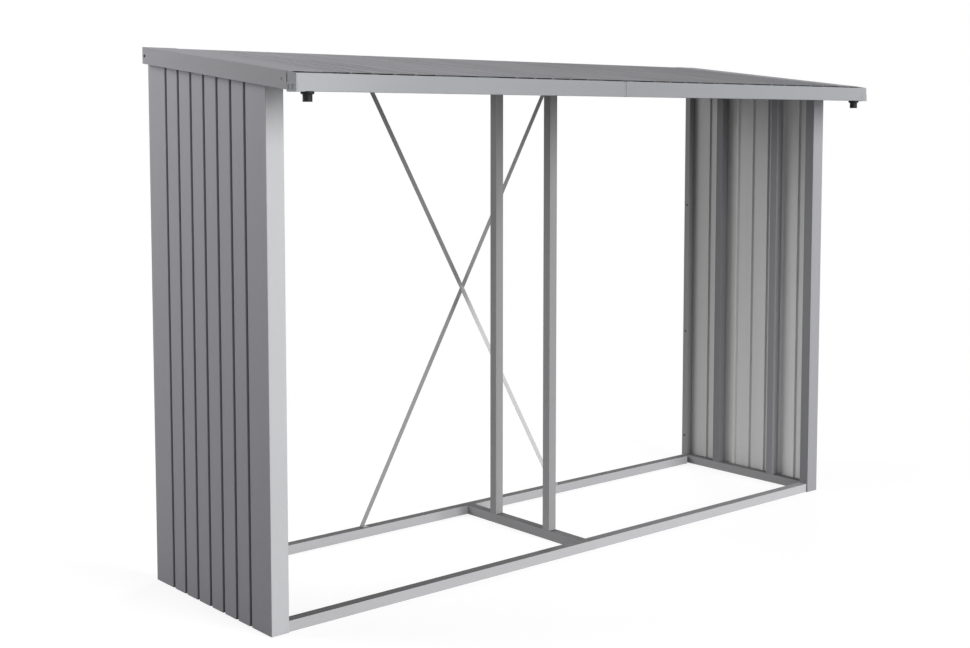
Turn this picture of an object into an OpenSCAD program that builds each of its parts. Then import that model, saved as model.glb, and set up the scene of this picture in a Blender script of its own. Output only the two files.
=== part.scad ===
// Open log store of folded sheet steel: two ribbed side walls, a base frame,
// posts and purlins, and a pitched ribbed roof that drains into a front gutter.
// Millimetres, +Z up, +X along the length, front towards -Y.

/* [Overall] */
// Length over the verges
overall_length = 3020; // [2000:10:4000]
// Depth from gutter front to rear fascia
overall_depth = 1020; // [850:10:1600]
// Height at the rear edge of the roof
overall_height = 1990; // [1500:10:2600]
// Fall of the roof towards the front, degrees
roof_pitch = 6.6; // [3:0.1:12]
// Thickness of walls, roof sheets and trims
sheet_t = 1.5; // [1:0.1:3]

/* [Ribbed sheets] */
// Width of a pressed groove at the sheet surface
groove_open = 16; // [8:1:30]
// Width of a groove at its floor
groove_floor = 8; // [4:1:20]
// Depth of a pressed groove
groove_depth = 9; // [4:1:15]
// Flat end of a side wall, to the middle of its nearest groove
wall_end_land = 131.5; // [80:0.5:180]
// Grooves in each side wall
wall_grooves = 7; // [3:1:9]
// Flat edge of a roof panel, to the middle of its nearest groove
roof_end_land = 183; // [100:1:220]
// Grooves in each roof panel
roof_grooves = 5; // [2:1:8]
// Roof panels side by side
roof_panels = 4; // [4:1:4]

/* [Overhangs] */
// Roof overhang past each side wall
side_overhang = 22; // [10:1:80]
// Roof overhang from the front posts to the gutter front
front_overhang = 217; // [120:1:350]

/* [Base frame] */
// Width of a sill seen from above
sill_w = 40; // [25:1:70]
// Height of a sill
sill_h = 38; // [25:1:70]
// Wall of sill, post and beam tubes
tube_t = 2; // [1.5:0.1:4]
// Front sill behind the front post faces
front_sill_setback = 6; // [0:0.5:10]
// Rear sill in front of the rear plane
rear_sill_setback = 22; // [12:1:60]
// Clear gap at the ends of the rear sill, where only its rear face runs on
sill_end_gap = 16; // [0:1:40]

/* [Posts] */
// Front face of a front corner post
front_post_w = 69; // [45:1:110]
// Depth of a front corner post
front_post_d = 44; // [30:1:80]
// Return lip of a front corner post
front_post_lip = 14; // [6:1:25]
// Width of a rear corner post
rear_post_w = 38; // [25:1:70]
// Depth of a rear corner post
rear_post_d = 30; // [20:1:60]
// Side of the square inner posts
post_w = 38; // [25:1:60]
// Front row of inner posts, from the front post faces to their centre
front_row_y = 239; // [180:1:300]
// Rear row of inner posts, from the rear plane to their centre
rear_row_inset = 232; // [150:1:300]

/* [Roof] */
// Height of purlins and rails
beam_h = 40; // [25:1:70]
// Width of purlins and rails
beam_w = 40; // [25:1:70]
// Height of the verge and rear fascia
fascia_h = 60; // [40:1:100]
// Lap of the verge over the outer roof panel
verge_lap = 70; // [30:1:90]
// Outer roof panel edge inside the verge face
verge_to_panel = 65; // [40:1:100]
// Inward lip under the verge and rear fascia
fascia_lip = 16; // [6:1:20]

/* [Gutter] */
// Gutter lip below the front edge of the roof plane
gutter_drop = 2; // [0:0.5:10]
// Height of the gutter front
gutter_h = 57; // [40:1:100]
// Width of the gutter
gutter_w = 54; // [40:1:100]
// Inward lip at the top of the gutter front
gutter_lip = 9; // [4:1:14]
// Flange that carries the gutter under the roof panels
gutter_flange = 40; // [20:1:80]
// Gutter joint, to the left of mid-length
gutter_joint_x = -40; // [-400:5:400]
// Expansion gap between the gutter lengths
gutter_gap = 14; // [4:1:30]
// Length of the connector inside the gutter joint
connector_l = 60; // [40:1:150]
// Plate of an end cap
cap_t = 3; // [2:0.5:6]
// Tongue of an end cap inside the gutter
cap_tongue = 15; // [8:1:30]
// Clearance of the tongue in the gutter
cap_clear = 0.3; // [0.1:0.1:0.8]
// Sheet of the cap's boot, outside the foot of the gutter
cap_boot_t = 1.5; // [1:0.1:3]
// Height of the boot
cap_boot_h = 28; // [15:1:36]
// Boot clear of the spout flange
cap_boot_gap = 4; // [1:0.5:10]
// Bars of the frame on the end of the boot
cap_bar = 7; // [4:0.5:9]

/* [Drain spouts] */
// Spout centre from the end of the roof
spout_inset = 60; // [45:1:200]
// Outer diameter of a spout
spout_d = 32; // [20:1:40]
// Wall of a spout
spout_t = 2.5; // [1.5:0.1:5]
// Flange diameter of a spout
spout_flange_d = 44; // [30:1:50]
// Flange thickness of a spout
spout_flange_t = 6; // [3:1:10]
// Length of a spout below the gutter
spout_length = 33; // [20:1:80]

/* [Bracing] */
// Width of a brace strip
brace_w = 20; // [12:1:40]
// Thickness of a brace strip
brace_t = 1.5; // [1:0.1:4]
// Brace ends from the middle of the bracing
brace_half_span = 541; // [300:1:800]
// Middle of the bracing, from mid-length
brace_mid_x = -18; // [-100:1:100]
// Tab of a brace foot on the rear sill
brace_tab = 30; // [15:1:36]
// Hole in a brace end
brace_hole_d = 6; // [4:1:10]
// Spacer washer behind the outer brace
brace_washer_d = 16; // [10:1:20]

/* [Hidden] */
$fn = 48;

silver = [0.62, 0.63, 0.65];
silver_dark = [0.52, 0.53, 0.55];
black_plastic = [0.08, 0.08, 0.09];

half_l = overall_length / 2;
half_d = overall_depth / 2;
wall_x = half_l - side_overhang;
front_y = front_overhang - half_d;
wall_depth = half_d - front_y;
wall_mid_y = (front_y + half_d) / 2;
// Inner side of the groove floors, where the frame meets the wall
frame_x = wall_x - groove_depth - sheet_t;
// Inner side of the flat wall lands
land_x = wall_x - sheet_t;
front_row = front_y + front_row_y;
rear_row = half_d - rear_row_inset;
front_sill_y = front_y + front_sill_setback;
rear_sill_y = half_d - rear_sill_setback - sill_w;
gutter_top = overall_height - overall_depth * tan(roof_pitch) - gutter_drop;
gutter_bottom = gutter_top - gutter_h;
gutter_back = gutter_w - half_d;
gutter_front = cap_boot_t - half_d;
// Inner side of an end cap's plate
cap_x = half_l - cap_boot_t - cap_t;
cap_boot_l = spout_inset - spout_flange_d / 2 - cap_boot_gap;
panel_w = 2 * (half_l - verge_to_panel) / roof_panels;
wall_groove_pitch = (wall_depth - 2 * wall_end_land) / (wall_grooves - 1);
roof_groove_pitch = (panel_w - 2 * roof_end_land) / (roof_grooves - 1);
// Heights square to the roof plane, from the verge top
panel_top = -sheet_t;
beam_top = panel_top - groove_depth - sheet_t;
front_rail_y = front_sill_y + beam_w / 2;
rear_rail_y = rear_sill_y + sill_w - beam_w / 2;
brace_y = rear_sill_y + sill_w;
spout_x = half_l - spout_inset;
spout_y = gutter_w / 2 - half_d;
reach = overall_height;

// Left-hand unit normal of the line from a to b
function side_normal(a, b) = [a[1] - b[1], b[0] - a[0]] / norm(b - a);

// Corner p moved by t along the mitre of its two edge normals
function mitre(p, n0, n1, t) = p + t * (n0 + n1) / (1 + n0 * n1);

// Folding line moved sideways by t
function moved_line(p, t) = [
    for (i = [0 : len(p) - 1])
        let (
            last = len(p) - 1,
            n0 = i == 0 ? side_normal(p[0], p[1]) : side_normal(p[i - 1], p[i]),
            n1 = i == last ? n0 : side_normal(p[i], p[i + 1])
        )
        mitre(p[i], n0, n1, t)
];

// Outline of a sheet folded along line p, t thick on its left
function folded(p, t) = let (q = moved_line(p, t)) concat(p, [for (i = [len(q) - 1 : -1 : 0]) q[i]]);

// Folding line of a sheet w wide with n grooves pressed down, edges turned down by flange
function ribbed_line(w, n, pitch, flange) = concat(
    flange > 0 ? [[-w / 2, -flange]] : [],
    [[-w / 2, 0]],
    [
        for (k = [0 : n - 1])
            let (x = (k - (n - 1) / 2) * pitch)
            each [
                [x - groove_open / 2, 0],
                [x - groove_floor / 2, -groove_depth],
                [x + groove_floor / 2, -groove_depth],
                [x + groove_open / 2, 0]
            ]
    ],
    [[w / 2, 0]],
    flange > 0 ? [[w / 2, -flange]] : []
);

// World height at depth y of a plane h square to the roof plane
function roof_z(y, h) = overall_height + (y - half_d) * tan(roof_pitch) + h / cos(roof_pitch);

// World height of the underside of a beam centred at depth y
function beam_base(y) = roof_z(y, beam_top) - beam_h;

// Frame of the roof plane, from its rear top edge
module on_roof() {
    translate([0, half_d, overall_height])
        rotate([roof_pitch, 0, 0])
            children();
}

// Everything higher than h above the roof plane
module above_roof(h) {
    on_roof()
        translate([-overall_length, -reach, h])
            cube([2 * overall_length, 2 * reach, reach]);
}

// Room between two upright planes across the depth
module between_y(y0, y1) {
    translate([-overall_length, y0, 0])
        cube([2 * overall_length, y1 - y0, 2 * overall_height]);
}

// Profile in X and Z extruded along the slope, ends cut upright
module slope_run(y0, y1) {
    intersection() {
        on_roof()
            translate([0, reach / 2, 0])
                rotate([90, 0, 0])
                    linear_extrude(height = 2 * reach)
                        children();
        between_y(y0, y1);
    }
}

// Hollow section along X
module tube_x(length, w, h) {
    difference() {
        translate([-length / 2, 0, 0])
            cube([length, w, h]);
        translate([-length, tube_t, tube_t])
            cube([2 * length, w - 2 * tube_t, h - 2 * tube_t]);
    }
}

// Hollow section along Y
module tube_y(length, w, h) {
    difference() {
        cube([w, length, h]);
        translate([tube_t, -length, tube_t])
            cube([w - 2 * tube_t, 3 * length, h - 2 * tube_t]);
    }
}

// Base frame

module front_sill() {
    color(silver)
        translate([0, front_sill_y, 0])
            tube_x(2 * (wall_x - front_post_w), sill_w, sill_h);
}

// Clear of the side sills, with its rear face running on to the rear posts
module rear_sill() {
    clear_x = frame_x - sill_w - sill_end_gap;
    post_x = land_x - rear_post_w;
    color(silver)
        translate([0, rear_sill_y, 0])
            difference() {
                tube_x(2 * post_x, sill_w, sill_h);
                for (start_x = [clear_x, -clear_x - post_x])
                    translate([start_x, -sill_w, -sill_h])
                        cube([post_x, 2 * sill_w - tube_t, 3 * sill_h]);
            }
}

module right_sill() {
    color(silver)
        translate([frame_x - sill_w, front_y + front_post_d, 0])
            tube_y(wall_depth - front_post_d - rear_post_d, sill_w, sill_h);
}

module left_sill() {
    mirror([1, 0, 0])
        right_sill();
}

module middle_sill() {
    start_y = front_sill_y + sill_w;
    color(silver)
        translate([-sill_w / 2, start_y, 0])
            tube_y(rear_sill_y - start_y, sill_w, sill_h);
}

// Posts

module right_front_post() {
    post_h = beam_base(front_rail_y);
    line = [
        [land_x - front_post_lip, front_y + front_post_d],
        [land_x, front_y + front_post_d],
        [land_x, front_y],
        [wall_x - front_post_w, front_y],
        [wall_x - front_post_w, front_y + front_post_d],
        [wall_x - front_post_w + front_post_lip, front_y + front_post_d]
    ];
    color(silver)
        linear_extrude(height = post_h)
            polygon(folded(line, -tube_t));
}

module left_front_post() {
    mirror([1, 0, 0])
        right_front_post();
}

module right_rear_post() {
    line = [
        [land_x, half_d - rear_post_d],
        [land_x - rear_post_w, half_d - rear_post_d],
        [land_x - rear_post_w, half_d - sheet_t],
        [land_x, half_d - sheet_t]
    ];
    color(silver)
        difference() {
            linear_extrude(height = overall_height)
                polygon(folded(line, -tube_t));
            above_roof(beam_top);
        }
}

module left_rear_post() {
    mirror([1, 0, 0])
        right_rear_post();
}

// Square hollow post on a sill, up to its purlin
module inner_post(x, y) {
    post_h = beam_base(y) - sill_h;
    color(silver_dark)
        translate([x, y, sill_h])
            linear_extrude(height = post_h)
                difference() {
                    square(post_w, center = true);
                    square(post_w - 2 * tube_t, center = true);
                }
}

module left_wall_front_stud() {
    inner_post(post_w / 2 - frame_x, front_row);
}

module left_wall_rear_stud() {
    inner_post(post_w / 2 - frame_x, rear_row);
}

module right_wall_front_stud() {
    inner_post(frame_x - post_w / 2, front_row);
}

module right_wall_rear_stud() {
    inner_post(frame_x - post_w / 2, rear_row);
}

module middle_front_post() {
    inner_post(0, front_row);
}

module middle_rear_post() {
    inner_post(0, rear_row);
}

// Side walls

module right_wall() {
    color(silver)
        difference() {
            translate([wall_x, wall_mid_y, 0])
                rotate([0, 0, -90])
                    linear_extrude(height = overall_height)
                        polygon(folded(ribbed_line(wall_depth, wall_grooves, wall_groove_pitch, 0), -sheet_t));
            above_roof(panel_top);
        }
}

module left_wall() {
    mirror([1, 0, 0])
        right_wall();
}

// Roof beams

// Section of a beam with its top on the roof slope, inset by t
function beam_section(y, t) = [
    [y - beam_w / 2 + t, beam_base(y) + t],
    [y + beam_w / 2 - t, beam_base(y) + t],
    [y + beam_w / 2 - t, roof_z(y + beam_w / 2 - t, beam_top - t)],
    [y - beam_w / 2 + t, roof_z(y - beam_w / 2 + t, beam_top - t)]
];

// Hollow beam along X, seated under the roof grooves at depth y
module roof_beam(y, half_x) {
    color(silver_dark)
        rotate([90, 0, 90])
            translate([0, 0, -half_x])
                linear_extrude(height = 2 * half_x)
                    difference() {
                        polygon(beam_section(y, 0));
                        polygon(beam_section(y, tube_t));
                    }
}

module front_rail() {
    roof_beam(front_rail_y, land_x);
}

module front_purlin() {
    roof_beam(front_row, frame_x);
}

module rear_purlin() {
    roof_beam(rear_row, frame_x);
}

module rear_rail() {
    roof_beam(rear_rail_y, land_x - rear_post_w);
}

// Roof

// Ribbed panel number k from the left
module roof_panel(k) {
    color(silver)
        slope_run(gutter_back, half_d - sheet_t)
            translate([(k - (roof_panels + 1) / 2) * panel_w, panel_top])
                polygon(folded(ribbed_line(panel_w, roof_grooves, roof_groove_pitch, groove_depth + sheet_t), -sheet_t));
}

module roof_panel_1() {
    roof_panel(1);
}

module roof_panel_2() {
    roof_panel(2);
}

module roof_panel_3() {
    roof_panel(3);
}

module roof_panel_4() {
    roof_panel(4);
}

module right_verge() {
    line = [
        [half_l - verge_to_panel - verge_lap, 0],
        [half_l, 0],
        [half_l, -fascia_h],
        [half_l - fascia_lip, -fascia_h]
    ];
    color(silver)
        slope_run(gutter_back, half_d)
            polygon(folded(line, -sheet_t));
}

module left_verge() {
    mirror([1, 0, 0])
        right_verge();
}

module rear_fascia() {
    line = [
        [half_d - fascia_lip, overall_height - fascia_h],
        [half_d, overall_height - fascia_h],
        [half_d, overall_height]
    ];
    color(silver)
        difference() {
            rotate([90, 0, 90])
                translate([0, 0, sheet_t - half_l])
                    linear_extrude(height = overall_length - 2 * sheet_t)
                        polygon(folded(line, sheet_t));
            above_roof(panel_top);
        }
}

// Gutter

// Outer line of the gutter in Y and Z, lip to carrying flange
function gutter_line() = let (
        seat = roof_z(gutter_back, beam_top - sheet_t)
    ) [
        [gutter_front + gutter_lip, gutter_top],
        [gutter_front, gutter_top],
        [gutter_front, gutter_bottom],
        [gutter_back, gutter_bottom],
        [gutter_back, seat],
        [gutter_back + gutter_flange, seat + gutter_flange * tan(roof_pitch)]
    ];

// Length of gutter from x0 to x1, holed for the spout
module gutter(x0, x1) {
    color(silver)
        difference() {
            rotate([90, 0, 90])
                translate([0, 0, x0])
                    linear_extrude(height = x1 - x0)
                        polygon(folded(gutter_line(), sheet_t));
            for (side = [-1, 1])
                translate([side * spout_x, spout_y, gutter_bottom - gutter_h])
                    cylinder(d = spout_d - 2 * spout_t, h = 2 * gutter_h - gutter_lip);
        }
}

module gutter_left() {
    gutter(-cap_x, gutter_joint_x - gutter_gap / 2);
}

module gutter_right() {
    gutter(gutter_joint_x + gutter_gap / 2, cap_x);
}

// Connector inside the gutter, bridging the joint
module gutter_connector() {
    gl = gutter_line();
    line = [gl[1], gl[2], gl[3], gl[4]];
    color(silver)
        rotate([90, 0, 90])
            translate([0, 0, gutter_joint_x - connector_l / 2])
                linear_extrude(height = connector_l)
                    difference() {
                        polygon(folded(moved_line(line, sheet_t), sheet_t));
                        translate([-half_d, gutter_top - sheet_t])
                            square([gutter_w, gutter_h]);
                    }
}

// Framed end of a cap's boot: a border with a rib down its middle
module boot_frame() {
    frame_w = gutter_back + half_d;
    frame_h = cap_boot_h + cap_boot_t;
    window_w = (frame_w - 3 * cap_bar) / 2;
    translate([-half_d, gutter_bottom - cap_boot_t])
        difference() {
            square([frame_w, frame_h]);
            for (k = [0, 1])
                translate([cap_bar + k * (window_w + cap_bar), cap_bar])
                    square([window_w, frame_h - 2 * cap_bar]);
        }
}

// End cap whose top carries on the slope of the verge, with a boot round the gutter's foot
module right_gutter_cap() {
    gl = gutter_line();
    outline = [gl[1], gl[2], gl[3], [gutter_back, roof_z(gutter_back, 0)]];
    inner = moved_line(outline, sheet_t + cap_clear);
    color(silver)
        rotate([90, 0, 90]) {
            translate([0, 0, cap_x])
                linear_extrude(height = cap_t)
                    polygon(outline);
            translate([0, 0, cap_x - cap_tongue])
                linear_extrude(height = cap_tongue)
                    polygon(folded([
                        [inner[1][0], gutter_top - gutter_lip],
                        inner[1],
                        inner[2],
                        [inner[2][0], gutter_top - gutter_lip]
                    ], sheet_t));
            translate([0, 0, half_l - cap_boot_l])
                linear_extrude(height = cap_boot_l)
                    polygon(folded([gl[2] + [0, cap_boot_h], gl[2], gl[3]], -cap_boot_t));
            translate([0, 0, half_l - cap_boot_t])
                linear_extrude(height = cap_boot_t)
                    boot_frame();
        }
}

module left_gutter_cap() {
    mirror([1, 0, 0])
        right_gutter_cap();
}

// Round outlet under the gutter floor
module right_spout() {
    bore_r = spout_d / 2 - spout_t;
    color(black_plastic)
        translate([spout_x, spout_y, gutter_bottom - spout_length])
            rotate_extrude()
                polygon([
                    [bore_r, 0],
                    [spout_d / 2, 0],
                    [spout_d / 2, spout_length - spout_flange_t],
                    [spout_flange_d / 2, spout_length - spout_flange_t],
                    [spout_flange_d / 2, spout_length],
                    [bore_r, spout_length]
                ]);
}

module left_spout() {
    mirror([1, 0, 0])
        right_spout();
}

// Rear bracing

// Flat strip that rises to the right from a tab on the rear sill to the rear rail,
// behind the rail by a spacer washer of the given thickness
module brace(spacer) {
    rise = beam_base(rear_rail_y) + beam_h / 2 - sill_h;
    run = 2 * brace_half_span;
    length = sqrt(rise * rise + run * run);
    tab_w = brace_w * length / rise;
    back_y = brace_y + spacer + brace_t;
    translate([-brace_half_span, back_y, sill_h])
        intersection() {
            rotate([90, -atan2(rise, run), 0])
                difference() {
                    union() {
                        linear_extrude(height = brace_t)
                            translate([-brace_w, -brace_w / 2])
                                square([brace_w + length + brace_w / 2, brace_w]);
                        if (spacer > 0)
                            translate([length, 0, 0])
                                cylinder(d = brace_washer_d, h = brace_t + spacer);
                    }
                    translate([length, 0, -brace_t])
                        cylinder(d = brace_hole_d, h = 3 * brace_t + spacer);
                }
            translate([-reach, -reach, 0])
                cube([3 * reach, 2 * reach, 2 * reach]);
        }
    difference() {
        translate([-brace_half_span - tab_w / 2, brace_y - brace_tab, sill_h])
            cube([tab_w, back_y - brace_y + brace_tab, brace_t]);
        translate([-brace_half_span, brace_y - brace_tab / 2, sill_h - brace_t])
            cylinder(d = brace_hole_d, h = 3 * brace_t);
    }
}

module brace_inner() {
    color(silver_dark)
        translate([brace_mid_x, 0, 0])
            mirror([1, 0, 0])
                brace(0);
}

module brace_outer() {
    color(silver_dark)
        translate([brace_mid_x, 0, 0])
            brace(brace_t);
}

front_sill();
rear_sill();
left_sill();
right_sill();
middle_sill();
left_front_post();
right_front_post();
left_rear_post();
right_rear_post();
left_wall_front_stud();
left_wall_rear_stud();
right_wall_front_stud();
right_wall_rear_stud();
middle_front_post();
middle_rear_post();
left_wall();
right_wall();
front_rail();
front_purlin();
rear_purlin();
rear_rail();
roof_panel_1();
roof_panel_2();
roof_panel_3();
roof_panel_4();
left_verge();
right_verge();
rear_fascia();
gutter_left();
gutter_right();
gutter_connector();
left_gutter_cap();
right_gutter_cap();
left_spout();
right_spout();
brace_inner();
brace_outer();
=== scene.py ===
"""Dressed log store: silver painted sheet steel, open at the front and the rear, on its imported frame."""

import math

import bpy
import numpy as np
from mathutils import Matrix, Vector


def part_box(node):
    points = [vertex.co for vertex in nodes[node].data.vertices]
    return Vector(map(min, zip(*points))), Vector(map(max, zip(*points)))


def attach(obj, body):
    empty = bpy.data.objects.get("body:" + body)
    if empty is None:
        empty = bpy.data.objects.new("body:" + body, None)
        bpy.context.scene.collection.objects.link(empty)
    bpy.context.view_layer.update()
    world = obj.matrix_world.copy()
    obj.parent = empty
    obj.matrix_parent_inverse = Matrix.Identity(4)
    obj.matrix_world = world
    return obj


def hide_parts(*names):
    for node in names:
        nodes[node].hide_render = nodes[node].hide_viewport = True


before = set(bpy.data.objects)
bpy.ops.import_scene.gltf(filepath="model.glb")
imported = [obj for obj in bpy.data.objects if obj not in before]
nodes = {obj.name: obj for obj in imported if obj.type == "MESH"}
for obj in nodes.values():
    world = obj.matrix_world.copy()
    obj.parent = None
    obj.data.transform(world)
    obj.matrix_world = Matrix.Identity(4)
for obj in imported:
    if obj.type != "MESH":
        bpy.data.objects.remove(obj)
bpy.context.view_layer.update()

# Camera.
# It stands in front of the left corner at eye height and looks a little down
# at the store, and its small shift lifts the roof towards the top of the frame.
camera_place = (-3.9589, -4.2920, 1.7121)
camera_yaw = 49.5700
camera_dip = 4.5397
camera_lens = 52.968
camera_shift = -0.09
camera = bpy.data.objects.new("camera", bpy.data.cameras.new("camera"))
bpy.context.scene.collection.objects.link(camera)
camera.location = camera_place
camera.rotation_euler = (math.radians(90 - camera_dip), 0, math.radians(camera_yaw - 90))
camera.data.sensor_fit = "HORIZONTAL"
camera.data.sensor_width = 36
camera.data.lens = camera_lens
camera.data.shift_y = camera_shift
bpy.context.scene.camera = camera
bpy.context.scene.view_settings.view_transform = "Standard"

# Studio floor.
# A wide white studio floor. The lens sees it as white paper with a faint shadow,
# and the store sees it as a plain pale floor that throws light back up.
floor_half = 60.0
floor_level = -0.0004
floor_rows = 13
floor_seen = (0.30, 0.30, 0.30, 1)
floor_bounce = (0.50, 0.50, 0.50, 1)
floor_glow = 0.79
shadow_reach = 4.5
shadow_full = 0.45 * shadow_reach


def quads_of_grid(rows, columns, ring=False, loop=False):
    """Faces of a grid of points numbered row by row. Each face joins a point, its right-hand neighbour
    and the two above them. In a ring the last column joins the first, in a loop the last row the first."""
    row, column = np.meshgrid(
        np.arange(rows if loop else rows - 1), np.arange(columns if ring else columns - 1), indexing="ij"
    )
    above = (row + 1) % rows * columns
    right = (column + 1) % columns
    along = row * columns
    return np.stack([along + column, along + right, above + right, above + column], axis=-1).reshape(-1, 4)


def piece_from(name, points, faces):
    """A mesh object at the origin from an array of points and a list of faces."""
    mesh = bpy.data.meshes.new(name)
    mesh.from_pydata(np.asarray(points, float).reshape(-1, 3).tolist(), [], faces)
    mesh.validate()
    piece = bpy.data.objects.new(name, mesh)
    bpy.context.scene.collection.objects.link(piece)
    return piece


def link(tree, source, target):
    """Joins an output socket to an input socket."""
    tree.links.new(source, target)


def camera_mirror_or_glass_ray(tree):
    """1 for a ray from the lens, off a gloss or through glass, else 0: the largest of the three flags."""
    path = tree.nodes.new("ShaderNodeLightPath")
    first = tree.nodes.new("ShaderNodeMath")
    first.operation = "MAXIMUM"
    second = tree.nodes.new("ShaderNodeMath")
    second.operation = "MAXIMUM"
    link(tree, path.outputs["Is Camera Ray"], first.inputs[0])
    link(tree, path.outputs["Is Glossy Ray"], first.inputs[1])
    link(tree, first.outputs[0], second.inputs[0])
    link(tree, path.outputs["Is Transmission Ray"], second.inputs[1])
    return second.outputs[0]


floor_line = np.linspace(-floor_half, floor_half, floor_rows)
floor_x, floor_y = np.meshgrid(floor_line, floor_line)
floor_points = np.stack([floor_x, floor_y, np.full_like(floor_x, floor_level)], axis=-1)
floor = piece_from("studio_floor", floor_points, quads_of_grid(floor_rows, floor_rows).tolist())
floor_paint = bpy.data.materials.new("studio_floor")
floor_paint.use_nodes = True
floor_tree = floor_paint.node_tree
floor_tree.nodes.clear()
seen_diffuse = floor_tree.nodes.new("ShaderNodeBsdfDiffuse")
seen_diffuse.inputs["Color"].default_value = floor_seen
seen_glow = floor_tree.nodes.new("ShaderNodeEmission")
seen_glow.inputs["Strength"].default_value = floor_glow
seen = floor_tree.nodes.new("ShaderNodeAddShader")
paper = floor_tree.nodes.new("ShaderNodeEmission")
paper.inputs["Strength"].default_value = 1.0
floor_place = floor_tree.nodes.new("ShaderNodeTexCoord")
from_middle = floor_tree.nodes.new("ShaderNodeVectorMath")
from_middle.operation = "LENGTH"
fade = floor_tree.nodes.new("ShaderNodeMapRange")
fade.interpolation_type = "SMOOTHSTEP"
fade.inputs["From Min"].default_value = shadow_full
fade.inputs["From Max"].default_value = shadow_reach
sheet_mix = floor_tree.nodes.new("ShaderNodeMixShader")
bounce = floor_tree.nodes.new("ShaderNodeBsdfDiffuse")
bounce.inputs["Color"].default_value = floor_bounce
floor_mix = floor_tree.nodes.new("ShaderNodeMixShader")
floor_out = floor_tree.nodes.new("ShaderNodeOutputMaterial")
link(floor_tree, seen_diffuse.outputs[0], seen.inputs[0])
link(floor_tree, seen_glow.outputs[0], seen.inputs[1])
link(floor_tree, camera_mirror_or_glass_ray(floor_tree), floor_mix.inputs[0])
link(floor_tree, floor_place.outputs["Object"], from_middle.inputs[0])
link(floor_tree, from_middle.outputs["Value"], fade.inputs["Value"])
link(floor_tree, fade.outputs["Result"], sheet_mix.inputs[0])
link(floor_tree, seen.outputs[0], sheet_mix.inputs[1])
link(floor_tree, paper.outputs[0], sheet_mix.inputs[2])
link(floor_tree, bounce.outputs[0], floor_mix.inputs[1])
link(floor_tree, sheet_mix.outputs[0], floor_mix.inputs[2])
link(floor_tree, floor_mix.outputs[0], floor_out.inputs["Surface"])
floor.data.materials.append(floor_paint)

# Studio light.
# A white room lights the store a little from all round. A tall soft box stands well in front,
# a second one hangs behind the left corner and lights that wall and the inside,
# and a weaker one hangs behind the right corner.
room_level = 0.21
world = bpy.data.worlds.new("studio_room")
bpy.context.scene.world = world
world.use_nodes = True
room = world.node_tree
room.nodes.clear()
room_light = room.nodes.new("ShaderNodeBackground")
room_light.inputs["Color"].default_value = (1, 1, 1, 1)
room_light.inputs["Strength"].default_value = room_level
room_white = room.nodes.new("ShaderNodeBackground")
room_white.inputs["Color"].default_value = (1, 1, 1, 1)
room_white.inputs["Strength"].default_value = 1.0
room_mix = room.nodes.new("ShaderNodeMixShader")
room_out = room.nodes.new("ShaderNodeOutputWorld")
link(room, camera_mirror_or_glass_ray(room), room_mix.inputs[0])
link(room, room_light.outputs[0], room_mix.inputs[1])
link(room, room_white.outputs[0], room_mix.inputs[2])
link(room, room_mix.outputs[0], room_out.inputs["Surface"])


def soft_box(name, place, aim, width, height, watts):
    """A rectangular lamp at a place, turned so that its face looks at a point."""
    lamp = bpy.data.objects.new(name, bpy.data.lights.new(name, "AREA"))
    bpy.context.scene.collection.objects.link(lamp)
    lamp.data.shape = "RECTANGLE"
    lamp.data.size = width
    lamp.data.size_y = height
    lamp.data.energy = watts
    lamp.location = place
    sight = np.subtract(aim, place)
    tilt = math.atan2(math.hypot(sight[0], sight[1]), -sight[2])
    lamp.rotation_euler = (tilt, 0, math.atan2(sight[1], sight[0]) - math.pi / 2)


soft_box("front_box", place=(1.0, -9.0, 4.3), aim=(0.4, 0.0, 1.6), width=4.4, height=7.6, watts=840)
soft_box("left_box", place=(-4.6, 4.2, 4.0), aim=(-0.4, 0.2, 1.0), width=4.2, height=3.2, watts=205)
soft_box("right_box", place=(4.8, 3.4, 4.4), aim=(0.4, 0.2, 1.0), width=2.6, height=2.2, watts=95)

# Base frame.
# Five hollow sections of silver painted steel lie on the ground: a long one at the front
# and the rear, one along each wall and one across the middle. They are cut square and screwed.
sill_colour = (0.555, 0.555, 0.572, 1)
sill_top_shade = (0.15, 0.15, 0.152, 1)
sill_fold = 0.0016
# The second colour of each paint is its painted highlight along the folds.
sill_highlight = (0.64, 0.64, 0.65, 1)
# The sills along the walls and across the middle are painted darker than the long ones: painted shade.
cross_sill_colour = (0.385, 0.385, 0.395, 1)
cross_sill_highlight = (0.46, 0.46, 0.47, 1)
along_x = (1.5, 60, 60)
along_y = (60, 1.5, 60)
along_z = (60, 60, 1.5)


def sockets(group, inputs, outputs):
    """Named sockets of a node group: inputs as (name, kind, value), outputs as (name, kind)."""
    for name, kind, value in inputs:
        made = group.interface.new_socket(name, in_out="INPUT", socket_type="NodeSocket" + kind)
        if value is not None:
            made.default_value = value
    for name, kind in outputs:
        group.interface.new_socket(name, in_out="OUTPUT", socket_type="NodeSocket" + kind)


def calculate(tree, operation, a, b, clamp=False):
    """A Math node on two sockets or numbers."""
    node = tree.nodes.new("ShaderNodeMath")
    node.operation = operation
    node.use_clamp = clamp
    for place, value in enumerate((a, b)):
        if isinstance(value, (int, float)):
            node.inputs[place].default_value = value
        else:
            link(tree, value, node.inputs[place])
    return node.outputs[0]


def noise_at(tree, vector, scale, detail):
    """A Noise node's value, 0 to 1, on a vector socket."""
    node = tree.nodes.new("ShaderNodeTexNoise")
    node.inputs["Scale"].default_value = scale
    node.inputs["Detail"].default_value = detail
    link(tree, vector, node.inputs["Vector"])
    return node.outputs["Fac"]


def stretched(tree, vector, stretch):
    """A vector times a stretch: a noise on it runs in streaks along the axis with the least stretch."""
    node = tree.nodes.new("ShaderNodeVectorMath")
    node.operation = "MULTIPLY"
    link(tree, vector, node.inputs[0])
    link(tree, stretch, node.inputs[1])
    return node.outputs[0]
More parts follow.
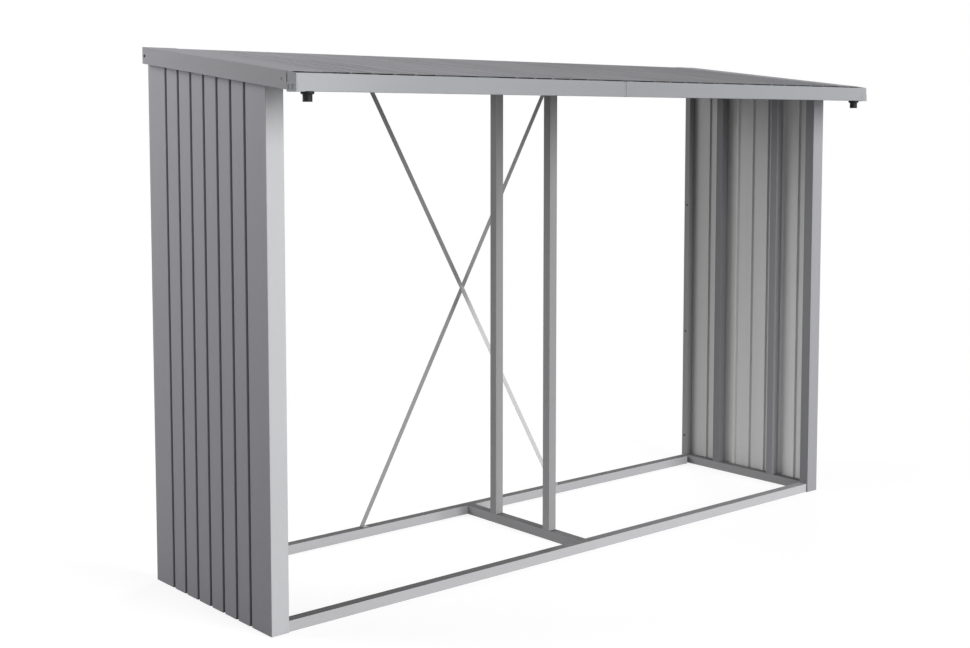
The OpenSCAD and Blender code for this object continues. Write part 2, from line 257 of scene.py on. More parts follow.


# Paint tone: the colour times one plus cloud, streak and fleck, each a noise about zero times its amount,
# and times one plus the drift, a slow change of so much a metre along each axis. The drift paints light
# and shade: a surface grows lighter or darker towards where more or less light falls on it.
cloud_scale = 2.2
peel_scale = 420
gloss_spread = 0.16
paint_tone = bpy.data.node_groups.new("paint_tone", "ShaderNodeTree")
sockets(
    paint_tone,
    [
        ("Position", "Vector", None),
        ("Streak Stretch", "Vector", along_z),
        ("Colour", "Color", (0.5, 0.5, 0.5, 1)),
        ("Cloud", "Float", 0.05),
        ("Streak", "Float", 0.05),
        ("Fleck", "Float", 0.05),
        ("Drift", "Vector", (0, 0, 0)),
        ("Gloss", "Float", 0.5),
    ],
    [("Colour", "Color"), ("Roughness", "Float"), ("Height", "Float")],
)
tone_in = paint_tone.nodes.new("NodeGroupInput")
tone_out = paint_tone.nodes.new("NodeGroupOutput")
tone_place = tone_in.outputs["Position"]
cloud = calculate(paint_tone, "SUBTRACT", noise_at(paint_tone, tone_place, cloud_scale, detail=3), 0.5)
streak_place = stretched(paint_tone, tone_place, tone_in.outputs["Streak Stretch"])
streak = calculate(paint_tone, "SUBTRACT", noise_at(paint_tone, streak_place, scale=1, detail=2), 0.5)
peel = noise_at(paint_tone, tone_place, peel_scale, detail=2)
fleck = calculate(paint_tone, "SUBTRACT", peel, 0.5)
tone_sum = calculate(
    paint_tone,
    "ADD",
    calculate(paint_tone, "MULTIPLY", cloud, tone_in.outputs["Cloud"]),
    calculate(
        paint_tone,
        "ADD",
        calculate(paint_tone, "MULTIPLY", streak, tone_in.outputs["Streak"]),
        calculate(paint_tone, "MULTIPLY", fleck, tone_in.outputs["Fleck"]),
    ),
)
tone_drift = paint_tone.nodes.new("ShaderNodeVectorMath")
tone_drift.operation = "DOT_PRODUCT"
link(paint_tone, tone_place, tone_drift.inputs[0])
link(paint_tone, tone_in.outputs["Drift"], tone_drift.inputs[1])
tone_factor = calculate(
    paint_tone,
    "MULTIPLY",
    calculate(paint_tone, "ADD", 1.0, tone_sum),
    calculate(paint_tone, "ADD", 1.0, tone_drift.outputs["Value"]),
)
tone_scale = paint_tone.nodes.new("ShaderNodeVectorMath")
tone_scale.operation = "SCALE"
link(paint_tone, tone_in.outputs["Colour"], tone_scale.inputs[0])
link(paint_tone, tone_factor, tone_scale.inputs["Scale"])
link(paint_tone, tone_scale.outputs[0], tone_out.inputs["Colour"])
gloss_shift = calculate(paint_tone, "MULTIPLY", calculate(paint_tone, "ADD", streak, cloud), gloss_spread)
tone_gloss = calculate(paint_tone, "ADD", tone_in.outputs["Gloss"], gloss_shift, True)
link(paint_tone, tone_gloss, tone_out.inputs["Roughness"])
link(paint_tone, peel, tone_out.inputs["Height"])

# Fold highlight: a mask that is one where the sheet turns round a fold, broken up by a noise,
# and the rounded normal there. The mask lays a painted highlight along the folds.
highlight_gain = 4.0
highlight_least = 0.35
highlight_scale = 30
fold_highlight = bpy.data.node_groups.new("fold_highlight", "ShaderNodeTree")
sockets(
    fold_highlight,
    [("Position", "Vector", None), ("Fold Radius", "Float", 0.002)],
    [("Mask", "Float"), ("Normal", "Vector")],
)
highlight_in = fold_highlight.nodes.new("NodeGroupInput")
highlight_out = fold_highlight.nodes.new("NodeGroupOutput")
rounding = fold_highlight.nodes.new("ShaderNodeBevel")
rounding.samples = 6
link(fold_highlight, highlight_in.outputs["Fold Radius"], rounding.inputs["Radius"])
flat_face = fold_highlight.nodes.new("ShaderNodeNewGeometry")
agreement = fold_highlight.nodes.new("ShaderNodeVectorMath")
agreement.operation = "DOT_PRODUCT"
link(fold_highlight, rounding.outputs[0], agreement.inputs[0])
link(fold_highlight, flat_face.outputs["True Normal"], agreement.inputs[1])
turn = calculate(fold_highlight, "SUBTRACT", 1.0, agreement.outputs["Value"])
turned = calculate(fold_highlight, "MULTIPLY", turn, highlight_gain, True)
highlight_noise = noise_at(fold_highlight, highlight_in.outputs["Position"], highlight_scale, detail=3)
broken = calculate(fold_highlight, "ADD", highlight_least, highlight_noise)
link(fold_highlight, calculate(fold_highlight, "MULTIPLY", turned, broken, True), highlight_out.inputs["Mask"])
link(fold_highlight, rounding.outputs[0], highlight_out.inputs["Normal"])

fleck_amount = 0.06
highlight_share = 0.45
peel_strength = 0.25
peel_depth = 0.0002


def painted_steel(
    name, colour, highlight_colour, stretch, gloss, fold, specular, clouds, streaks, metal=0.0, drift=(0, 0, 0)
):
    """Painted sheet: paint tone for colour and roughness, a painted highlight in a lighter tone at the folds,
    orange peel as bump over the rounded normal."""
    paint = bpy.data.materials.new(name)
    paint.use_nodes = True
    tree = paint.node_tree
    shader = tree.nodes["Principled BSDF"]
    place = tree.nodes.new("ShaderNodeTexCoord")
    tone = tree.nodes.new("ShaderNodeGroup")
    tone.node_tree = paint_tone
    tone.inputs["Streak Stretch"].default_value = stretch
    tone.inputs["Colour"].default_value = colour
    tone.inputs["Cloud"].default_value = clouds
    tone.inputs["Streak"].default_value = streaks
    tone.inputs["Fleck"].default_value = fleck_amount
    tone.inputs["Drift"].default_value = drift
    tone.inputs["Gloss"].default_value = gloss
    highlight = tree.nodes.new("ShaderNodeGroup")
    highlight.node_tree = fold_highlight
    highlight.inputs["Fold Radius"].default_value = fold
    link(tree, place.outputs["Object"], tone.inputs["Position"])
    link(tree, place.outputs["Object"], highlight.inputs["Position"])
    # Painted highlight: the colour goes towards the highlight colour along the folds.
    blend = tree.nodes.new("ShaderNodeMix")
    blend.data_type = "RGBA"
    blend.inputs["B"].default_value = highlight_colour
    link(tree, calculate(tree, "MULTIPLY", highlight.outputs["Mask"], highlight_share), blend.inputs["Factor"])
    link(tree, tone.outputs["Colour"], blend.inputs["A"])
    link(tree, blend.outputs["Result"], shader.inputs["Base Color"])
    link(tree, tone.outputs["Roughness"], shader.inputs["Roughness"])
    bump = tree.nodes.new("ShaderNodeBump")
    bump.inputs["Strength"].default_value = peel_strength
    bump.inputs["Distance"].default_value = peel_depth
    link(tree, tone.outputs["Height"], bump.inputs["Height"])
    link(tree, highlight.outputs["Normal"], bump.inputs["Normal"])
    link(tree, bump.outputs[0], shader.inputs["Normal"])
    shader.inputs["Metallic"].default_value = metal
    shader.inputs["Specular IOR Level"].default_value = specular
    return paint


def finish_nodes(names, paint):
    """Puts a paint in every material slot of the named nodes."""
    for name in names:
        for held in nodes[name].material_slots:
            held.material = paint


# Painted top shade: one on faces that look up, broken up by a noise and thinner to the right, so much
# a metre. It paints shade on the upward faces, lighter to the right where more light reaches them.
upward_limit = 0.7
top_shade_least = 0.8
top_shade_spread = 0.4
top_shade_scale = 14
top_shade = bpy.data.node_groups.new("top_shade", "ShaderNodeTree")
sockets(
    top_shade,
    [("Position", "Vector", None), ("Amount", "Float", 0.8), ("Thinning", "Float", 0.2)],
    [("Mask", "Float")],
)
top_shade_in = top_shade.nodes.new("NodeGroupInput")
top_shade_out = top_shade.nodes.new("NodeGroupOutput")
face_way = top_shade.nodes.new("ShaderNodeSeparateXYZ")
top_shade_face = top_shade.nodes.new("ShaderNodeNewGeometry")
link(top_shade, top_shade_face.outputs["True Normal"], face_way.inputs[0])
top_shade_place = top_shade.nodes.new("ShaderNodeSeparateXYZ")
link(top_shade, top_shade_in.outputs["Position"], top_shade_place.inputs[0])
upward = calculate(top_shade, "GREATER_THAN", face_way.outputs["Z"], upward_limit)
top_shade_noise = noise_at(top_shade, top_shade_in.outputs["Position"], top_shade_scale, detail=4)
top_shade_swing = calculate(top_shade, "MULTIPLY", top_shade_noise, top_shade_spread)
top_shade_patch = calculate(top_shade, "ADD", top_shade_least, top_shade_swing)
top_shade_loss = calculate(top_shade, "MULTIPLY", top_shade_place.outputs["X"], top_shade_in.outputs["Thinning"])
top_shade_thin = calculate(top_shade, "SUBTRACT", 1.0, top_shade_loss)
top_shade_kept = calculate(top_shade, "MULTIPLY", top_shade_patch, top_shade_thin)
top_shade_depth = calculate(top_shade, "MULTIPLY", top_shade_kept, top_shade_in.outputs["Amount"])
link(top_shade, calculate(top_shade, "MULTIPLY", upward, top_shade_depth, True), top_shade_out.inputs["Mask"])


def lay_top_shade(paint, colour, amount, thinning):
    """Lays painted shade over a paint: its colour goes towards the shade colour by the top shade mask."""
    tree = paint.node_tree
    base = tree.nodes["Principled BSDF"].inputs["Base Color"]
    shade_group = tree.nodes.new("ShaderNodeGroup")
    shade_group.node_tree = top_shade
    shade_group.inputs["Amount"].default_value = amount
    shade_group.inputs["Thinning"].default_value = thinning
    link(tree, tree.nodes.new("ShaderNodeTexCoord").outputs["Object"], shade_group.inputs["Position"])
    mix = tree.nodes.new("ShaderNodeMix")
    mix.data_type = "RGBA"
    link(tree, base.links[0].from_socket, mix.inputs["A"])
    mix.inputs["B"].default_value = colour
    link(tree, shade_group.outputs["Mask"], mix.inputs["Factor"])
    link(tree, mix.outputs["Result"], base)


for sill_node, sill_drift, top_shade_amount, top_shade_thinning in (
    ("front_sill", (0.03, 0, 0), 0.90, 0.32),
    ("rear_sill", (-0.02, -0.1, 0), 1.0, 0.03),
):
    sill_paint = painted_steel(
        sill_node + "_paint", sill_colour, sill_highlight, along_x,
        gloss=0.52, fold=sill_fold, specular=0.03, clouds=0.08, streaks=0.05, drift=sill_drift,
    )
    # Painted shade on the sills' tops, lighter towards the right.
    lay_top_shade(sill_paint, sill_top_shade, top_shade_amount, top_shade_thinning)
    finish_nodes([sill_node], sill_paint)
cross_sill_paint = painted_steel(
    "cross_sill_paint", cross_sill_colour, cross_sill_highlight, along_y,
    gloss=0.52, fold=sill_fold, specular=0.03, clouds=0.08, streaks=0.05,
)
lay_top_shade(cross_sill_paint, sill_top_shade, amount=0.9, thinning=0.1)
finish_nodes(["left_sill", "right_sill", "middle_sill"], cross_sill_paint)

# Corner posts.
# Wide folded steel sections close the front corners and narrow ones the rear corners.
# They are painted before they are screwed to the walls and sills. The left front post is painted paler
# than the right one and the rear posts darker, darker towards the top: painted light and shade.
left_corner_colour = (0.565, 0.570, 0.585, 1)
left_corner_highlight = (0.80, 0.80, 0.81, 1)
right_corner_colour = (0.368, 0.368, 0.389, 1)
right_corner_highlight = (0.50, 0.50, 0.51, 1)
rear_corner_colour = (0.34, 0.34, 0.347, 1)
rear_corner_highlight = (0.42, 0.42, 0.43, 1)
inside_shade = (0.72, 0.72, 0.72, 1)
corner_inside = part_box("right_front_post")[0].x
shade_begins = corner_inside + 0.0022
shade_is_full = corner_inside + 0.0005


def tint_along(paint, axis, start, end, colour, where=None, blend="MIX"):
    """Changes a paint along an axis to another colour, or to its product with that colour: nothing at
    the start, all of it at the end and a smooth step between them, times a mask where one is given."""
    tree = paint.node_tree
    base = tree.nodes["Principled BSDF"].inputs["Base Color"]
    place = tree.nodes.new("ShaderNodeSeparateXYZ")
    link(tree, tree.nodes.new("ShaderNodeTexCoord").outputs["Object"], place.inputs[0])
    step = tree.nodes.new("ShaderNodeMapRange")
    step.interpolation_type = "SMOOTHSTEP"
    step.inputs["From Min"].default_value = start
    step.inputs["From Max"].default_value = end
    link(tree, place.outputs[axis], step.inputs["Value"])
    mix = tree.nodes.new("ShaderNodeMix")
    mix.data_type = "RGBA"
    mix.blend_type = blend
    mix.inputs["B"].default_value = colour
    amount = step.outputs["Result"]
    if where is not None:
        amount = calculate(tree, "MULTIPLY", amount, where)
    link(tree, amount, mix.inputs["Factor"])
    link(tree, base.links[0].from_socket, mix.inputs["A"])
    link(tree, mix.outputs["Result"], base)


left_corner_paint = painted_steel(
    "left_corner_paint", left_corner_colour, left_corner_highlight, along_z,
    gloss=0.50, fold=0.002, specular=0.12, clouds=0.06, streaks=0.05,
)
right_corner_paint = painted_steel(
    "right_corner_paint", right_corner_colour, right_corner_highlight, along_z,
    gloss=0.50, fold=0.002, specular=0.12, clouds=0.06, streaks=0.05,
)
rear_corner_paint = painted_steel(
    "rear_corner_paint", rear_corner_colour, rear_corner_highlight, along_z,
    gloss=0.50, fold=0.002, specular=0.12, clouds=0.06, streaks=0.05, drift=(0, 0, -0.22),
)
# Painted shade on the inner face of the right front post.
tint_along(right_corner_paint, "X", shade_begins, shade_is_full, inside_shade, blend="MULTIPLY")
finish_nodes(["left_front_post"], left_corner_paint)
finish_nodes(["right_front_post"], right_corner_paint)
finish_nodes(["left_rear_post", "right_rear_post"], rear_corner_paint)

# Inner posts.
# Square hollow posts of silver painted steel stand on the sills in two rows, two on the middle one
# and two against each wall. Each row has its own tone, darker towards the top, and on some the sides
# are painted darker than the fronts: painted light and shade.
post_drift = (0, 0.1, -0.16)
stud_drift = (0, -0.8, -0.17)
front_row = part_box("middle_front_post")[0].y
rear_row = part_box("middle_rear_post")[0].y
front_light_to = 0.001
side_shade_from = 0.0035
post_highlight = (0.44, 0.44, 0.45, 1)
stud_highlight = (0.40, 0.40, 0.41, 1)
bright_highlight = (0.50, 0.50, 0.51, 1)
front_studs = ["left_wall_front_stud", "right_wall_front_stud"]
rear_studs = ["left_wall_rear_stud", "right_wall_rear_stud"]
for row_nodes, row_colour, row_highlight, row_drift, row_front, side_share in (
    (["middle_front_post"], (0.375, 0.375, 0.383, 1), post_highlight, post_drift, front_row, 1.0),
    (["middle_rear_post"], (0.454, 0.454, 0.464, 1), bright_highlight, post_drift, rear_row, 0.70),
    (front_studs, (0.468, 0.465, 0.490, 1), bright_highlight, stud_drift, front_row, 0.66),
    (rear_studs, (0.323, 0.321, 0.338, 1), stud_highlight, stud_drift, rear_row, 1.0),
):
    row_paint = painted_steel(
        row_nodes[0] + "_paint", row_colour, row_highlight, along_z,
        gloss=0.50, fold=0.002, specular=0.12, clouds=0.05, streaks=0.05, drift=row_drift,
    )
    # Painted shade on the sides and rear, so that the front looks lit.
    if side_share < 1.0:
        side_shade = (side_share, side_share, side_share, 1)
        side_begins = row_front + front_light_to
        side_is_full = row_front + side_shade_from
        tint_along(row_paint, "Y", side_begins, side_is_full, side_shade, blend="MULTIPLY")
    finish_nodes(row_nodes, row_paint)

# Side walls.
# Each wall is one rolled steel sheet with seven narrow grooves pressed inwards,
# painted on both sides and hung between the corner posts.
wall_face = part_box("right_wall")[1].x
# Painted light and shade: the outer paint grows lighter to the top and rear, the back coat darker.
wall_colour = (0.317, 0.315, 0.337, 1)
wall_highlight = (0.46, 0.46, 0.47, 1)
back_coat = (0.86, 0.86, 0.855, 1)
back_drift = (0, -0.45, -0.20)
wall_groove_shade = 0.56

# Pressed sheet: measured along the sheet's outward direction, Groove grows from zero on the flat face to one
# down in a pressed groove, and Back is one on the side that looks away from that direction.
groove_start = 0.0008
groove_gain = 300.0
back_limit = -0.05
pressed_sheet = bpy.data.node_groups.new("pressed_sheet", "ShaderNodeTree")
sockets(
    pressed_sheet,
    [("Position", "Vector", None), ("Outward", "Vector", (1, 0, 0)), ("Face", "Float", 1.0)],
    [("Groove", "Float"), ("Back", "Float")],
)
press_in = pressed_sheet.nodes.new("NodeGroupInput")
press_out = pressed_sheet.nodes.new("NodeGroupOutput")
reach_out = pressed_sheet.nodes.new("ShaderNodeVectorMath")
reach_out.operation = "DOT_PRODUCT"
link(pressed_sheet, press_in.outputs["Position"], reach_out.inputs[0])
link(pressed_sheet, press_in.outputs["Outward"], reach_out.inputs[1])
facing = pressed_sheet.nodes.new("ShaderNodeVectorMath")
facing.operation = "DOT_PRODUCT"
sheet_side = pressed_sheet.nodes.new("ShaderNodeNewGeometry")
link(pressed_sheet, sheet_side.outputs["True Normal"], facing.inputs[0])
link(pressed_sheet, press_in.outputs["Outward"], facing.inputs[1])
sunk = calculate(pressed_sheet, "SUBTRACT", press_in.outputs["Face"], reach_out.outputs["Value"])
groove_depth = calculate(pressed_sheet, "SUBTRACT", sunk, groove_start)
groove_ramp = calculate(pressed_sheet, "MULTIPLY", groove_depth, groove_gain, True)
is_back = calculate(pressed_sheet, "LESS_THAN", facing.outputs["Value"], back_limit)
is_front = calculate(pressed_sheet, "SUBTRACT", 1.0, is_back)
link(pressed_sheet, calculate(pressed_sheet, "MULTIPLY", groove_ramp, is_front), press_out.inputs["Groove"])
link(pressed_sheet, is_back, press_out.inputs["Back"])


def press_ribs(paint, outward, face, shade):
    """Gives a sheet's paint its painted shade in the grooves and its back coat: the paint's colour goes
    towards a darker copy of itself in the grooves and towards the back coat's own paint tone on the back.
    Returns the mask of the back."""
    tree = paint.node_tree
    base = tree.nodes["Principled BSDF"].inputs["Base Color"]
    painted = base.links[0].from_socket
    place = tree.nodes.new("ShaderNodeTexCoord")
    press = tree.nodes.new("ShaderNodeGroup")
    press.node_tree = pressed_sheet
    press.inputs["Outward"].default_value = outward
    press.inputs["Face"].default_value = face
    link(tree, place.outputs["Object"], press.inputs["Position"])
    dark = tree.nodes.new("ShaderNodeVectorMath")
    dark.operation = "SCALE"
    link(tree, painted, dark.inputs[0])
    dark.inputs["Scale"].default_value = shade
    coat = tree.nodes.new("ShaderNodeGroup")
    coat.node_tree = paint_tone
    coat.inputs["Colour"].default_value = back_coat
    coat.inputs["Drift"].default_value = back_drift
    link(tree, place.outputs["Object"], coat.inputs["Position"])
    layers = ((press.outputs["Groove"], dark.outputs[0]), (press.outputs["Back"], coat.outputs["Colour"]))
    for amount, colour in layers:
        mix = tree.nodes.new("ShaderNodeMix")
        mix.data_type = "RGBA"
        link(tree, amount, mix.inputs["Factor"])
        link(tree, painted, mix.inputs["A"])
        link(tree, colour, mix.inputs["B"])
        painted = mix.outputs["Result"]
    link(tree, painted, base)
    return press.outputs["Back"]


for wall_node, outward_x in (("left_wall", -1.0), ("right_wall", 1.0)):
    wall_paint = painted_steel(
        wall_node + "_paint", wall_colour, wall_highlight, along_z,
        gloss=0.55, fold=0.0012, specular=0.10, clouds=0.06, streaks=0.06, drift=(0, 0.08, 0.21),
    )
    press_ribs(wall_paint, (outward_x, 0, 0), wall_face, wall_groove_shade)
    finish_nodes([wall_node], wall_paint)

# Roof beams.
# Four upright hollow sections of painted steel run from side to side under the roof and carry its sheets.
# Three of them stand on the posts, and the rear one is fixed between the rear corner posts.
beam_colour = (0.42, 0.42, 0.43, 1)
beam_highlight = (0.52, 0.52, 0.53, 1)
beam_paint = painted_steel(
    "beam_paint", beam_colour, beam_highlight, along_x,
    gloss=0.52, fold=0.0016, specular=0.1, clouds=0.08, streaks=0.05,
)
finish_nodes(["front_rail", "front_purlin", "rear_purlin", "rear_rail"], beam_paint)

# Rear bracing.
# Two flat painted steel strips cross behind the inner posts. Their bent feet are screwed to the rear sill,
# and they are bolted to the rear rail at their heads and to each other at their crossing. The inner strip has
# a painted highlight below the crossing and painted shade above it, and both darken towards the top.
inner_brace_colour = (0.69, 0.69, 0.695, 1)
inner_brace_highlight = (0.7, 0.7, 0.71, 1)
inner_brace_shade = (0.275, 0.275, 0.28, 1)
shade_above_from = 0.85
shade_above_to = 1.12
outer_brace_colour = (0.36, 0.36, 0.365, 1)
outer_brace_highlight = (0.44, 0.44, 0.45, 1)
zinc_colour = (0.50, 0.50, 0.51, 1)
zinc_highlight = (0.58, 0.58, 0.59, 1)
strip_cloud = (40, 40, 40)
head_grain = (200, 200, 200)
strip_thickness = 0.0015
foot_length = 0.030
half_span = 0.541
crossing_x = -0.018
left_end_x = crossing_x - half_span
right_end_x = crossing_x + half_span
head_z = 1.953
sill_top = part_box("rear_sill")[1].z
rail_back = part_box("rear_rail")[1].y
inner_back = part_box("brace_inner")[1].y
outer_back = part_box("brace_outer")[1].y
crossing_z = (sill_top + head_z) / 2
foot_y = rail_back - foot_length / 2
foot_z = sill_top + strip_thickness
inner_brace_paint = painted_steel(
    "inner_brace_paint", inner_brace_colour, inner_brace_highlight, strip_cloud,
    gloss=0.45, fold=0.0006, specular=0.15, clouds=0.05, streaks=0.05, drift=(0, 0, -0.05),
)
# Painted highlight on the lower half of the inner strip, painted shade on its upper half.
tint_along(inner_brace_paint, "Z", shade_above_from, shade_above_to, inner_brace_shade)
outer_brace_paint = painted_steel(
    "outer_brace_paint", outer_brace_colour, outer_brace_highlight, strip_cloud,
    gloss=0.45, fold=0.0006, specular=0.15, clouds=0.05, streaks=0.05, drift=(0, 0, -0.13),
)
finish_nodes(["brace_inner"], inner_brace_paint)
finish_nodes(["brace_outer"], outer_brace_paint)
pan_head = [
    (0.0052, -0.0003), (0.0052, 0.0012), (0.0045, 0.0024), (0.0026, 0.0031),
    (0.0022, 0.0031), (0.0019, 0.0018), (0.0004, 0.0018),
]
washer = [(0.0085, -0.0003), (0.0085, 0.0010), (0.0080, 0.0014), (0.0050, 0.0014)]
hex_head = [(0.0057, 0.0011), (0.0057, 0.0047), (0.0049, 0.0054), (0.0010, 0.0055)]


def turned_heads(name, seats, axis, shells):
    """Screw or bolt heads turned about one axis. A point of a shell lies at the seat, plus its height along
    the axis, plus its radius times the cosine and sine of its turn across the axis. A shell is a profile
    of (radius, height) rows and a number of sides, closed by a flat face at each end."""
    axis = np.asarray(axis, float)
    across = np.cross(axis, (0.0, 0.0, 1.0) if abs(axis[2]) < 0.5 else (0.0, 1.0, 0.0))
    beside = np.cross(axis, across)
    points, faces = [], []
    for seat in seats:
        for profile, sides in shells:
            radius, height = np.asarray(profile, float).T[:, :, None, None]
            turn = (2 * np.pi * np.arange(sides) / sides)[None, :, None]
            spread = across * np.cos(turn) + beside * np.sin(turn)
            rings = np.asarray(seat, float) + height * axis + radius * spread
            start = sum(len(block) for block in points)
            last = start + (len(profile) - 1) * sides
            faces += (quads_of_grid(len(profile), sides, ring=True) + start).tolist()
            faces += [list(range(start + sides - 1, start - 1, -1)), list(range(last, last + sides))]
            points.append(rings.reshape(-1, 3))
    heads = piece_from(name, np.concatenate(points), faces)
    heads.data.shade_smooth()
    heads.data.set_sharp_from_angle(angle=math.radians(35))
    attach(heads, "root")
    return heads


zinc = painted_steel(
    "zinc_plate", zinc_colour, zinc_highlight, head_grain,
    gloss=0.45, fold=0.0004, specular=0.3, clouds=0.1, streaks=0.1, metal=0.4,
)
bolt_shells = [(washer, 24), (hex_head, 6)]
screw_shells = [(pan_head, 20)]
bolt_seats = [(crossing_x, rail_back, crossing_z)]
nut_seats = [
    (crossing_x, outer_back, crossing_z),
    (left_end_x, inner_back, head_z),
    (right_end_x, outer_back, head_z),
]
foot_seats = [(right_end_x, foot_y, foot_z), (left_end_x, foot_y, foot_z)]
crossing_bolt = turned_heads("brace_crossing_bolt", bolt_seats, (0, -1, 0), bolt_shells)
brace_nuts = turned_heads("brace_nuts", nut_seats, (0, 1, 0), bolt_shells)
brace_foot_screws = turned_heads("brace_foot_screws", foot_seats, (0, 0, 1), screw_shells)
for heads in (crossing_bolt, brace_nuts, brace_foot_screws):
    heads.data.materials.append(zinc)

# Roof.
# Four ribbed painted steel sheets lie side by side with their grooves down the slope, held at the ends
# by folded verges and closed at the back by a fascia. Their cut edge and underside are painted dark
# at the front: painted shade in the gap over the gutter. The sheets are painted lighter to the left and
# the rear, and the verges lighter to the rear: painted light.
roof_pitch = math.radians(6.6)
roof_outward = (0, -math.sin(roof_pitch), math.cos(roof_pitch))
verge_thickness = 0.0015
verge_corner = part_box("right_verge")[1]
roof_face = float(np.dot(roof_outward, (0, verge_corner.y, verge_corner.z))) - verge_thickness
rain_streaks = (18, 0.8, 18)
roof_colour = (0.376, 0.375, 0.394, 1)
roof_highlight = (0.70, 0.70, 0.71, 1)
roof_groove_shade = 0.5
gap_shade_colour = (0.05, 0.05, 0.05, 1)
gap_shade_from = -0.26
gap_shade_to = -0.40
cut_edge_shade = (0.13, 0.13, 0.13, 1)
cut_edge_shade_from = -0.4515
cut_edge_shade_to = -0.4545
verge_colour = (0.468, 0.467, 0.490, 1)
verge_highlight = (0.80, 0.80, 0.81, 1)
roof_paint = painted_steel(
    "roof_paint", roof_colour, roof_highlight, rain_streaks,
    gloss=0.6, fold=0.002, specular=0.0, clouds=0.05, streaks=0.42, drift=(-0.13, 0.1, 0),
)
roof_underside = press_ribs(roof_paint, roof_outward, roof_face, roof_groove_shade)
# Painted shade on the underside and the cut edge along the front.
tint_along(roof_paint, "Y", gap_shade_from, gap_shade_to, gap_shade_colour, roof_underside)
tint_along(roof_paint, "Y", cut_edge_shade_from, cut_edge_shade_to, cut_edge_shade)
finish_nodes(["roof_panel_1", "roof_panel_2", "roof_panel_3", "roof_panel_4"], roof_paint)
verge_paint = painted_steel(
    "verge_paint", verge_colour, verge_highlight, along_y,
    gloss=0.55, fold=0.003, specular=0.0, clouds=0.05, streaks=0.05, drift=(0, 0.1, 0),
)
finish_nodes(["left_verge", "right_verge", "rear_fascia"], verge_paint)

# Screws and rivets.
# A dark steel pan-head screw holds the rear end of each verge, and a painted rivet its front end.
# Three more such screws hold each rear post from inside.
dome_head = [(0.0048, -0.0003), (0.0048, 0.0006), (0.0042, 0.0016), (0.0028, 0.0024), (0.0010, 0.0027)]
verge_face = verge_corner.x
verge_screw_y, verge_screw_z = 0.4937, 1.957
verge_rivet_y, verge_rivet_z = -0.423, 1.8537
post_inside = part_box("right_rear_post")[0].x
post_screw_y = 0.4928
post_screw_heights = (0.1346, 0.6677, 1.3045)
rivet_colour = (0.56, 0.56, 0.57, 1)
rivet_highlight = (0.62, 0.62, 0.63, 1)
dark_colour = (0.06, 0.06, 0.063, 1)
dark_highlight = (0.16, 0.16, 0.165, 1)
rivet_paint = painted_steel(
    "rivet_paint", rivet_colour, rivet_highlight, head_grain,
    gloss=0.6, fold=0.0004, specular=0.05, clouds=0.1, streaks=0.1,
)
dark_steel = painted_steel(
    "dark_screw", dark_colour, dark_highlight, head_grain,
    gloss=0.4, fold=0.0004, specular=0.3, clouds=0.1, streaks=0.1,
)
for side, way in (("left", -1.0), ("right", 1.0)):
    screw_seats = [(way * verge_face, verge_screw_y, verge_screw_z)]
    verge_screw = turned_heads(side + "_verge_screw", screw_seats, (way, 0, 0), screw_shells)
    verge_screw.data.materials.append(dark_steel)
    rivet_seats = [(way * verge_face, verge_rivet_y, verge_rivet_z)]
    verge_rivet = turned_heads(side + "_verge_rivet", rivet_seats, (way, 0, 0), [(dome_head, 20)])
    verge_rivet.data.materials.append(rivet_paint)
    post_seats = [(way * post_inside, post_screw_y, height) for height in post_screw_heights]
    post_screws = turned_heads(side + "_rear_post_screws", post_seats, (-way, 0, 0), screw_shells)
    post_screws.data.materials.append(dark_steel)

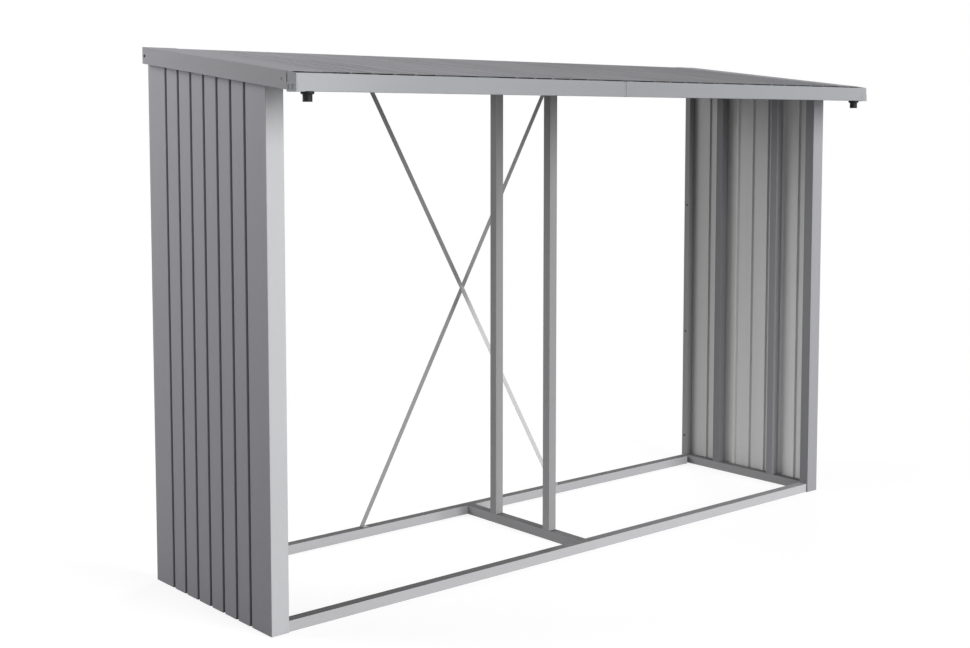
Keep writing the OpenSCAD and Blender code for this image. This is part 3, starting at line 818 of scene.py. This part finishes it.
# Gutter.
# Two folded channels of painted steel hang along the front edge of the roof, joined near the middle
# by a connector and closed at the ends by caps. Their silver tone is painted paler towards each end
# and palest at the left end: painted light.
gutter_colour = (0.292, 0.299, 0.313, 1)
gutter_highlight = (0.62, 0.62, 0.63, 1)
lit_end_colour = (0.437, 0.445, 0.462, 1)
for gutter_nodes, gutter_drift, lit_from, lit_to in (
    (["gutter_left"], (-0.19, 0, 0), -1.05, -1.55),
    (["left_gutter_cap"], (-0.19, 0, 0), -1.504, -1.500),
    (["gutter_right", "right_gutter_cap", "gutter_connector"], (0.13, 0, 0), None, None),
):
    gutter_paint = painted_steel(
        gutter_nodes[0] + "_paint", gutter_colour, gutter_highlight, along_x,
        gloss=0.5, fold=0.002, specular=0.10, clouds=0.05, streaks=0.05, drift=gutter_drift,
    )
    if lit_from is not None:
        # Painted light at the left end.
        tint_along(gutter_paint, "X", lit_from, lit_to, lit_end_colour)
    finish_nodes(gutter_nodes, gutter_paint)

# Drain spouts.
# Black moulded plastic spouts hang under the gutter's floor at each end, below a hole there.
# Each has a round flange on a small fillet, a plain tube and a bead round its mouth.
spout_black = (0.010, 0.010, 0.011, 1)
spout_highlight = (0.025, 0.025, 0.026, 1)
spout_cloud = (30, 30, 30)
spout_x = 1.450
spout_y = -0.483
spout_foot = 1.7800
spout_sides = 48
spout_paint = painted_steel(
    "spout_plastic", spout_black, spout_highlight, spout_cloud,
    gloss=0.5, fold=0.001, specular=0.2, clouds=0.1, streaks=0.05,
)
spout_wall = np.array([
    (0.0150, 0.0000), (0.0160, 0.0006), (0.0160, 0.0012), (0.0158, 0.0022),
    (0.0158, 0.0200), (0.0161, 0.0220), (0.0170, 0.0234), (0.0188, 0.0242),
    (0.0210, 0.0246), (0.0218, 0.0251), (0.0220, 0.0260), (0.0220, 0.0320),
    (0.0215, 0.0330), (0.0135, 0.0330), (0.0135, 0.0006), (0.0139, 0.0000),
])


def turned_ring(name, foot, wall, sides):
    """A hollow turned piece: each point of the closed wall line (radius, height) goes round the upright axis
    through the foot, at the radius times the cosine and sine of the turn, its height above the foot."""
    turn = 2 * np.pi * np.arange(sides) / sides
    x = foot[0] + wall[:, :1] * np.cos(turn)
    y = foot[1] + wall[:, :1] * np.sin(turn)
    z = foot[2] + np.broadcast_to(wall[:, 1:], x.shape)
    faces = quads_of_grid(len(wall), sides, ring=True, loop=True)
    ring = piece_from(name, np.stack([x, y, z], axis=-1), faces.tolist())
    ring.data.shade_smooth()
    ring.data.set_sharp_from_angle(angle=math.radians(40))
    return ring


for side, way in (("left", -1.0), ("right", 1.0)):
    foot = (way * spout_x, spout_y, spout_foot)
    spout = turned_ring(side + "_spout_moulding", foot, spout_wall, spout_sides)
    spout.data.materials.append(spout_paint)
    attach(spout, "root")
    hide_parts(side + "_spout")
